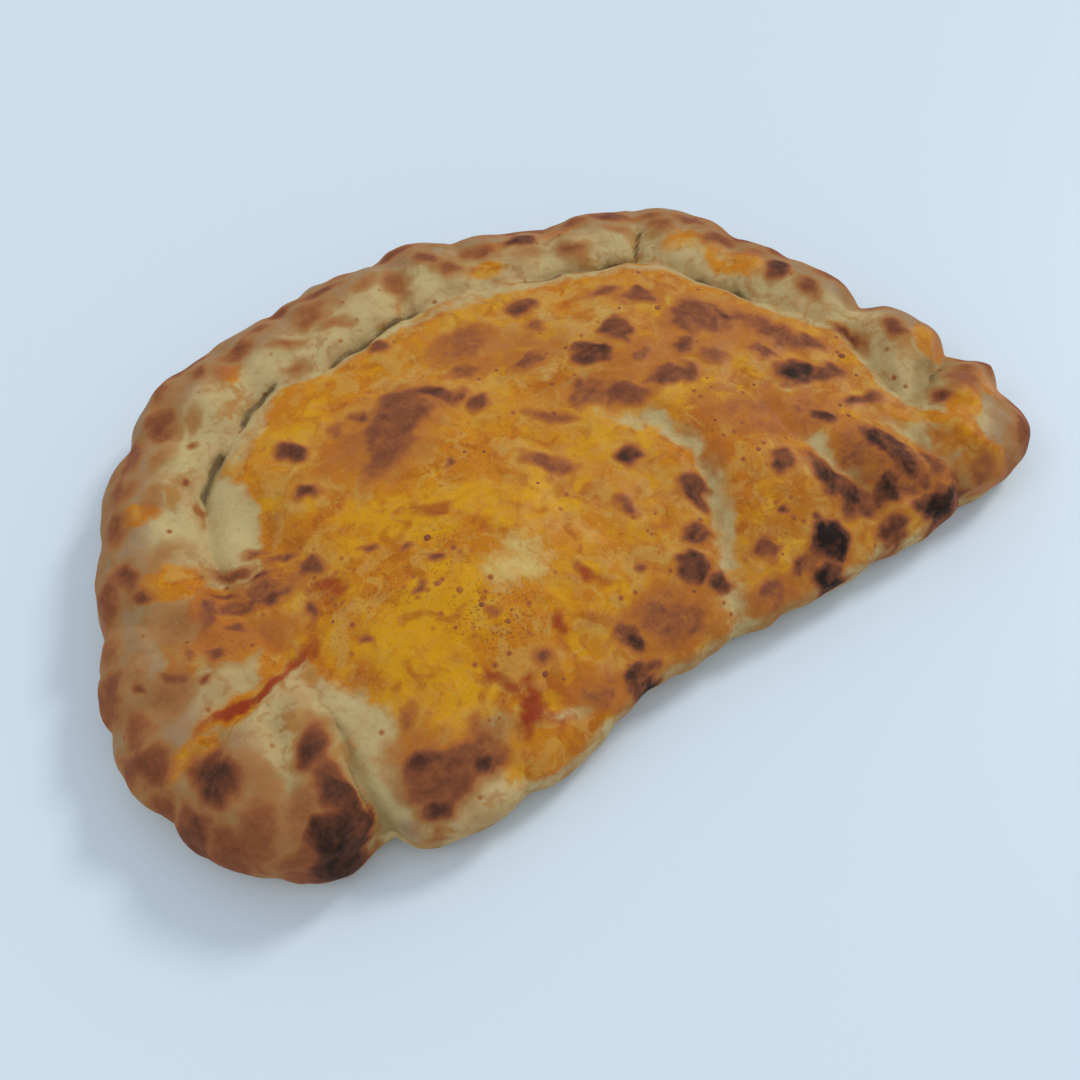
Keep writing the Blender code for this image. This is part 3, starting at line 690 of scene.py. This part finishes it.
class Wire:  # a socket that takes part in sums
    def __init__(self, recipe, socket):
        self.recipe = recipe
        self.socket = socket

    def math(self, operation, *others, clamp=False):
        settings = {"operation": operation, "use_clamp": clamp}
        inputs = dict(enumerate((self, *others)))
        return self.recipe.node("ShaderNodeMath", settings, inputs)[0]

    def __add__(self, other):
        return self.math("ADD", other)

    def __radd__(self, other):
        return self.math("ADD", other)

    def __sub__(self, other):
        return self.math("SUBTRACT", other)

    def __rsub__(self, other):
        return (self * -1.0).math("ADD", other)

    def __mul__(self, other):
        return self.math("MULTIPLY", other)

    def __rmul__(self, other):
        return self.math("MULTIPLY", other)

    def most(self, other):
        return self.math("MAXIMUM", other)

    def step(self, low, high):  # eases from 0 at low to 1 at high
        settings = {"interpolation_type": "SMOOTHSTEP"}
        inputs = {"Value": self, "From Min": low, "From Max": high}
        return self.recipe.node("ShaderNodeMapRange", settings, inputs)[0]


class Recipe:  # one material and its nodes
    def __init__(self, name):
        self.material = bpy.data.materials.new(name)
        self.material.use_nodes = True
        self.tree = self.material.node_tree
        self.shader = self.tree.nodes["Principled BSDF"]

    def node(self, kind, settings, inputs):
        made = self.tree.nodes.new(kind)
        for name, value in settings.items():
            if name == "stops":
                self.setStops(made.color_ramp, value)
            else:
                setattr(made, name, value)
        for name, value in inputs.items():
            self.feed(made.inputs[name], value)
        return [Wire(self, socket) for socket in made.outputs if socket.enabled]

    def setStops(self, ramp, stops):
        while len(ramp.elements) < len(stops):
            ramp.elements.new(0.5)
        for element, (place, colour) in zip(ramp.elements, stops):
            element.position = place
            element.color = colour

    def feed(self, socket, value):
        if isinstance(value, Wire):
            self.tree.links.new(value.socket, socket)
        else:
            socket.default_value = value

    def place(self):
        return self.node("ShaderNodeTexCoord", {}, {})[3]

    def field(self, name):
        return self.node("ShaderNodeAttribute", {"attribute_name": name}, {})[2]

    def grain(self, size, detail=3.0, roughness=0.55, shift=0.0, swirl=0.0):
        # noise between about 0.2 and 0.8, with lumps of that size in millimetres
        moved = self.node("ShaderNodeMapping", {}, {"Vector": self.place(), "Location": (shift, 0, 0)})
        inputs = {"Vector": moved[0], "Scale": 1 / (size * mm), "Detail": detail,
                  "Roughness": roughness, "Distortion": swirl}
        return self.node("ShaderNodeTexNoise", {}, inputs)[0]

    def blend(self, factor, first, second):
        inputs = {0: factor, 6: first, 7: second}
        return self.node("ShaderNodeMix", {"data_type": "RGBA"}, inputs)[0]

    def ramp(self, value, *stops):
        return self.node("ShaderNodeValToRGB", {"stops": stops}, {0: value})[0]


doughColours = {
    "pale": paint(206, 184, 128),
    "tan": paint(186, 144, 94),
    "ochre": paint(186, 124, 52),
    # painted shade: the darker colour laid into deep creases, where shade falls
    "creaseShade": paint(146, 118, 70),
    # painted shade: the dark of the gap where the dough has parted
    "slit": paint(72, 54, 36),
    "yellow": paint(222, 156, 0),
    "orange": paint(204, 122, 10),
    "deepOrange": paint(180, 94, 16),
    "tomato": paint(152, 30, 6),
    # pale melted cheese, also used as a painted highlight on the top of the belly
    "cheese": paint(222, 196, 116),
    "freckle": paint(142, 84, 32),
    "fleck": paint(212, 164, 78),
    "doughToast": paint(172, 122, 66),
    # toast on the outer side of the roll, greyed to stand in for a painted sheen of the sky at grazing
    # angles
    "outerTanAndSheen": paint(164, 132, 102),
    "toast": paint(186, 108, 42),
    "lightBrown": paint(166, 96, 52),
    "brown": paint(140, 80, 50),
    "darkBrown": paint(90, 54, 38),
    "char": paint(42, 30, 25),
}


def doughFinish():
    print("dough: finish")
    recipe = Recipe("bakedDough")
    colour = doughColours
    broad = recipe.grain(13, 2.0)
    middling = recipe.grain(5, 3.0, 0.5, swirl=0.5)
    fine = recipe.grain(1.4, 4.0, 0.65)
    baked = recipe.field("baked")
    bare = recipe.field("bare")
    sunk = recipe.field("sunk")
    under = recipe.field("under")
    rim = recipe.field("rim")
    crowd = recipe.field("speckled")

    # dough: pale in the folds, tan and ochre where it stands up
    stain = recipe.grain(8, 2.5, 0.5, 0.2, 0.8)
    toasting = (broad.step(0.35, 0.65) * 0.55 + middling * 0.5 + rim * 0.35) * (1 - sunk * 0.8)
    dough = recipe.blend(toasting * (1 - bare * 0.75), colour["pale"], colour["tan"])
    dough = recipe.blend(stain.step(0.5, 0.66) * (0.75 - bare * 0.6), dough, colour["ochre"])
    # painted shade: the deepest creases are darkened towards the crease shade colour
    dough = recipe.blend(sunk.step(0.4, 1.0) * 0.6, dough, colour["creaseShade"])
    mottle = recipe.grain(3.2, 3.0, 0.55, 0.5, 0.5).step(0.48, 0.66)
    dough = recipe.blend(mottle * (0.55 - bare * 0.4), dough, colour["doughToast"])
    # outer side of the roll: real toast, and a greyer tone that is painted sheen
    dough = recipe.blend((rim * (1.2 - sunk)).step(0.1, 0.9) * 0.85, dough, colour["outerTanAndSheen"])

    # oily glaze: yellow to orange, redder in streaks, cheese showing through
    warmth = (middling * 0.9 - recipe.field("pool") * 0.34 + (broad - 0.5) * 0.9).step(0.06, 0.6)
    glaze = recipe.blend(warmth, colour["yellow"], colour["orange"])
    deep = (stain + recipe.field("seared") * 0.16).step(0.5, 0.72)
    glaze = recipe.blend(deep * 0.75, glaze, colour["deepOrange"])
    flecks = fine.step(0.5, 0.66) * middling.step(0.4, 0.6)
    glaze = recipe.blend(flecks * 0.38, glaze, colour["fleck"])
    tanned = recipe.grain(6.5, 3.0, 0.55, 1.7, 0.7).step(0.5, 0.62)
    glaze = recipe.blend(tanned * (0.5 - recipe.field("pool") * 0.42), glaze, colour["fleck"])
    halo = recipe.field("halo") * (1 - baked) * (0.3 + middling.step(0.38, 0.6) * 0.7)
    glaze = recipe.blend(halo * 0.75, glaze, colour["fleck"])
    freckles = recipe.grain(0.9, 3.0, 0.6, 0.9).step(0.54, 0.66)
    glaze = recipe.blend(freckles * (crowd * 0.55 + 0.2), glaze, colour["freckle"])
    red = (recipe.field("tomato") + (middling - 0.5) * 0.9).step(0.15, 1.0)
    glaze = recipe.blend(red * 0.9, glaze, colour["tomato"])
    # cheese showing pale through the glaze; on the top of the belly it is also a painted highlight
    cheese = (recipe.field("cheese") + (middling - 0.5) * 1.3 + (fine - 0.5) * 0.7).step(0.3, 1.3)
    glaze = recipe.blend(cheese * 0.85, glaze, colour["cheese"])
    film = recipe.field("sauce") + (middling - 0.5) * 0.9 + (fine - 0.5) * 0.4
    covered = film.step(0.22, 0.78)
    ground = recipe.blend(covered * 0.96, dough, glaze)

    # browning: small specks, patches from toast to char, the outer side of the roll, the sole
    cells = recipe.node("ShaderNodeTexVoronoi", {}, {"Vector": recipe.place(), "Scale": 230.0})
    pick = recipe.node("ShaderNodeSeparateColor", {}, {"Color": cells[1]})[0]
    specks = (0.36 - cells[0]).step(0.0, 0.34) * (crowd * 0.6 + 0.16 - pick).step(0.0, 0.06)
    level = baked * (0.68 + middling * 0.58 + (fine - 0.5) * 0.34)
    level = level + (recipe.field("seared") * 0.5 * (middling * 1.6 + fine * 0.5 - 0.85)).most(0.0)
    level = level.most(specks * (1 - under) * 0.75)
    outer = rim * (0.2 + broad.step(0.36, 0.66) * 0.3 + (middling - 0.5) * 0.8)
    level = level.most(outer * (1 - sunk * 0.6))
    sole = recipe.grain(7, 3.0, 0.6, 0.8).step(0.42, 0.7) * 0.6 + 0.25
    level = level.most(sole * under)
    browns = recipe.ramp(
        level * 0.7,
        (0.16, colour["toast"]), (0.38, colour["lightBrown"]), (0.56, colour["brown"]),
        (0.76, colour["darkBrown"]), (0.94, colour["char"]),
    )
    toast = recipe.blend(covered, colour["doughToast"], colour["toast"])
    surface = recipe.blend(level.step(0.04, 0.42) * 0.75, ground, toast)
    surface = recipe.blend(level.step(0.28, 0.78), surface, browns)
    # painted shade: the slits are darkened where the parted dough lies in shade
    slitShade = 1 - (recipe.field("slit") + (fine - 0.5) * 0.8).step(0.2, 1.2)
    surface = recipe.blend(slitShade * 0.75, surface, colour["slit"])

    shader = recipe.shader
    recipe.feed(shader.inputs["Base Color"], surface)
    oily = covered * (1 - level.step(0.4, 0.9) * 0.8)
    recipe.feed(shader.inputs["Roughness"], 0.68 - oily * 0.24 + (fine - 0.5) * 0.2)
    recipe.feed(shader.inputs["Coat Weight"], oily * 0.05 + red * oily * 0.12)
    shader.inputs["Coat Roughness"].default_value = 0.28
    shader.inputs["Specular IOR Level"].default_value = 0.1
    shader.inputs["Subsurface Weight"].default_value = 0.06
    shader.inputs["Subsurface Radius"].default_value = (0.004, 0.002, 0.001)
    height = (middling - 0.5) * 0.8 + (fine - 0.5) * 0.3 - freckles * crowd * 0.1
    height = height + recipe.grain(0.5, 2.0) * 0.1
    bump = recipe.node("ShaderNodeBump", {}, {"Height": height, "Distance": 0.001, "Strength": 0.75})
    recipe.feed(shader.inputs["Normal"], bump[0])
    return recipe.material


studio = {
    "tableColour": paint(229, 242, 252),
    "tableHalf": 2.5,          # metres from its middle to a side
    "skyColour": paint(226, 234, 243),
    "skyStrength": 0.7,
    # suns: bearing from the camera's own, height, strength, softness in degrees, tint
    "suns": {
        "window": (135.0, 38.0, 1.0, 14.0, (1.0, 0.99, 0.97)),
        "farWindow": (-70.0, 50.0, 0.25, 25.0, (0.92, 0.96, 1.0)),
    },
    "cameraBearing": -34.8,
    "cameraHeight": 56.0,
    "cameraDistance": 0.4353,
    "cameraAim": (-8.7, 75.1, 0.0),   # in the baker's frame, millimetres
    "lens": 46.0,
}


def direction(bearing, height):
    # unit vector from the calzone towards something at that bearing and height
    b = math.radians(bearing)
    h = math.radians(height)
    return Vector((math.sin(b) * math.cos(h), -math.cos(b) * math.cos(h), math.sin(h)))


def addTable():
    recipe = Recipe("tableTop")
    recipe.shader.inputs["Base Color"].default_value = studio["tableColour"]
    recipe.shader.inputs["Roughness"].default_value = 0.45
    mesh = bpy.data.meshes.new("tableTop")
    half = studio["tableHalf"]
    corners = [(-half, -half, 0), (half, -half, 0), (half, half, 0), (-half, half, 0)]
    mesh.from_pydata(corners, [], [(0, 1, 2, 3)])
    mesh.materials.append(recipe.material)
    table = bpy.data.objects.new("tableTop", mesh)
    bpy.context.scene.collection.objects.link(table)


def addSun(name, bearing, height, strength, softness, tint):
    light = bpy.data.lights.new(name, "SUN")
    light.energy = strength
    light.angle = math.radians(softness)
    light.color = tint
    lamp = bpy.data.objects.new(name, light)
    aim = direction(studio["cameraBearing"] + bearing, height)
    lamp.rotation_euler = aim.to_track_quat("Z", "Y").to_euler()
    bpy.context.scene.collection.objects.link(lamp)


def addCamera(shift):
    camera = bpy.data.cameras.new("camera")
    camera.lens = studio["lens"]
    camera.clip_start = 0.01
    holder = bpy.data.objects.new("camera", camera)
    back = direction(studio["cameraBearing"], studio["cameraHeight"])
    aim = Vector((np.array(studio["cameraAim"]) + shift) * mm)
    holder.location = aim + back * studio["cameraDistance"]
    holder.rotation_euler = back.to_track_quat("Z", "Y").to_euler()
    bpy.context.scene.collection.objects.link(holder)
    bpy.context.scene.camera = holder


def lightStudio():
    world = bpy.data.worlds.new("sky")
    world.use_nodes = True
    background = world.node_tree.nodes["Background"]
    background.inputs["Color"].default_value = studio["skyColour"]
    background.inputs["Strength"].default_value = studio["skyStrength"]
    bpy.context.scene.world = world
    for name, values in studio["suns"].items():
        addSun(name, *values)
    bpy.context.scene.view_settings.view_transform = "Standard"


bubbles = {  # each is an input of the tree below, by the same name
    "perSquareMetre": 15000.0,   # where specks crowd most
    "smallest": 0.5 * mm,
    "largest": 1.15 * mm,
    "flatness": 0.22,
    "rareness": 2.2,             # higher leaves fewer large ones
    "unevenness": 0.25 * mm,
    "dentsPerMetre": 700.0,
    "seed": 7,
    "lightestToast": 0.3,        # darkest is 1
    "toastSeed": 3,
}


class Tree:  # a Geometry Nodes group in the making
    def __init__(self, name):
        self.group = bpy.data.node_groups.new(name, "GeometryNodeTree")
        self.addSocket("Geometry", "NodeSocketGeometry", "OUTPUT")

    def addSocket(self, name, kind, side="INPUT"):
        return self.group.interface.new_socket(name=name, in_out=side, socket_type=kind)

    def node(self, kind, settings, inputs):
        made = self.group.nodes.new(kind)
        for name, value in settings.items():
            setattr(made, name, value)
        for name, value in inputs.items():
            if isinstance(value, bpy.types.NodeSocket):
                self.group.links.new(value, made.inputs[name])
            else:
                made.inputs[name].default_value = value
        return made


def growBubbles(dough):
    tree = Tree("toastedBubbles")
    tree.addSocket("dough", "NodeSocketGeometry")
    tree.addSocket("crust", "NodeSocketMaterial")
    for name, value in bubbles.items():
        tree.addSocket(name, "NodeSocketInt" if isinstance(value, int) else "NodeSocketFloat")
    entry = tree.group.nodes.new("NodeGroupInput").outputs
    crowd = tree.node("GeometryNodeInputNamedAttribute", {"data_type": "FLOAT"}, {"Name": "bubbly"})
    density = tree.node("ShaderNodeMath", {"operation": "MULTIPLY"},
                        {0: crowd.outputs[0], 1: entry["perSquareMetre"]})
    spots = tree.node("GeometryNodeDistributePointsOnFaces", {"distribute_method": "RANDOM"},
                      {"Mesh": entry["dough"], "Density": density.outputs[0],
                       "Seed": entry["seed"]})
    ball = tree.node("GeometryNodeMeshIcoSphere", {}, {"Radius": 1.0, "Subdivisions": 2})
    pick = tree.node("FunctionNodeRandomValue", {"data_type": "FLOAT"}, {"Seed": entry["seed"]})
    rare = tree.node("ShaderNodeMath", {"operation": "POWER"},
                     {0: pick.outputs[1], 1: entry["rareness"]})
    size = tree.node("ShaderNodeMapRange", {}, {
        "Value": rare.outputs[0], "To Min": entry["smallest"], "To Max": entry["largest"]})
    height = tree.node("ShaderNodeMath", {"operation": "MULTIPLY"},
                       {0: size.outputs[0], 1: entry["flatness"]})
    scale = tree.node("ShaderNodeCombineXYZ", {}, {
        "X": size.outputs[0], "Y": size.outputs[0], "Z": height.outputs[0]})
    placed = tree.node("GeometryNodeInstanceOnPoints", {}, {
        "Points": spots.outputs["Points"], "Instance": ball.outputs["Mesh"],
        "Rotation": spots.outputs["Rotation"], "Scale": scale.outputs[0]})
    shade = tree.node("FunctionNodeRandomValue", {"data_type": "FLOAT"},
                      {"Min": entry["lightestToast"], "Max": 1.0, "Seed": entry["toastSeed"]})
    marked = tree.node("GeometryNodeStoreNamedAttribute",
                       {"data_type": "FLOAT", "domain": "INSTANCE"},
                       {"Geometry": placed.outputs[0], "Name": "toasted",
                        "Value": shade.outputs[1]})
    loose = tree.node("GeometryNodeRealizeInstances", {}, {"Geometry": marked.outputs[0]})
    wobble = tree.node("ShaderNodeTexNoise", {},
                       {"Scale": entry["dentsPerMetre"], "Detail": 1.0})
    centred = tree.node("ShaderNodeVectorMath", {"operation": "SUBTRACT"},
                        {0: wobble.outputs["Color"], 1: (0.5, 0.5, 0.5)})
    pushed = tree.node("ShaderNodeVectorMath", {"operation": "SCALE"},
                       {0: centred.outputs[0], "Scale": entry["unevenness"]})
    moved = tree.node("GeometryNodeSetPosition", {}, {
        "Geometry": loose.outputs[0], "Offset": pushed.outputs[0]})
    smoothed = tree.node("GeometryNodeSetShadeSmooth", {}, {"Geometry": moved.outputs[0]})
    finish = tree.node("GeometryNodeSetMaterial", {}, {
        "Geometry": smoothed.outputs[0], "Material": entry["crust"]})
    last = tree.group.nodes.new("NodeGroupOutput")
    tree.group.links.new(finish.outputs[0], last.inputs[0])

    holder = bpy.data.objects.new("bubbleField", dough.data)
    bpy.context.scene.collection.objects.link(holder)
    modifier = holder.modifiers.new("bubbles", "NODES")
    modifier.node_group = tree.group
    values = {**bubbles, "crust": bubbleFinish()}
    for item in tree.group.interface.items_tree:
        if item.in_out == "INPUT" and item.name in values:
            modifier[item.identifier] = values[item.name]
    bpy.context.view_layer.update()
    evaluated = holder.evaluated_get(bpy.context.evaluated_depsgraph_get())
    mesh = bpy.data.meshes.new_from_object(evaluated)
    mesh.name = "toastedBubbles"
    bpy.data.objects.remove(holder)
    piece = bpy.data.objects.new("toastedBubbles", mesh)
    bpy.context.scene.collection.objects.link(piece)
    print("bubbles:", len(mesh.polygons), "faces")
    return piece


def bubbleFinish():
    recipe = Recipe("bubbleCrust")
    colour = doughColours
    tone = recipe.field("toasted") + (recipe.grain(1.2) - 0.5) * 0.5
    recipe.feed(recipe.shader.inputs["Base Color"], recipe.ramp(
        tone, (0.25, colour["toast"]), (0.5, colour["lightBrown"]),
        (0.8, colour["brown"]), (1.0, colour["brown"]),
    ))
    recipe.feed(recipe.shader.inputs["Roughness"], 0.5 + tone * 0.2)
    recipe.shader.inputs["Specular IOR Level"].default_value = 0.2
    return recipe.material


calzone, bakerShift = bakeDough()
calzone.data.materials.append(doughFinish())
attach(calzone, "root")
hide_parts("calzone")

toastedBubbles = growBubbles(calzone)
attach(toastedBubbles, "root")

print("studio")
addTable()
lightStudio()
addCamera(bakerShift)
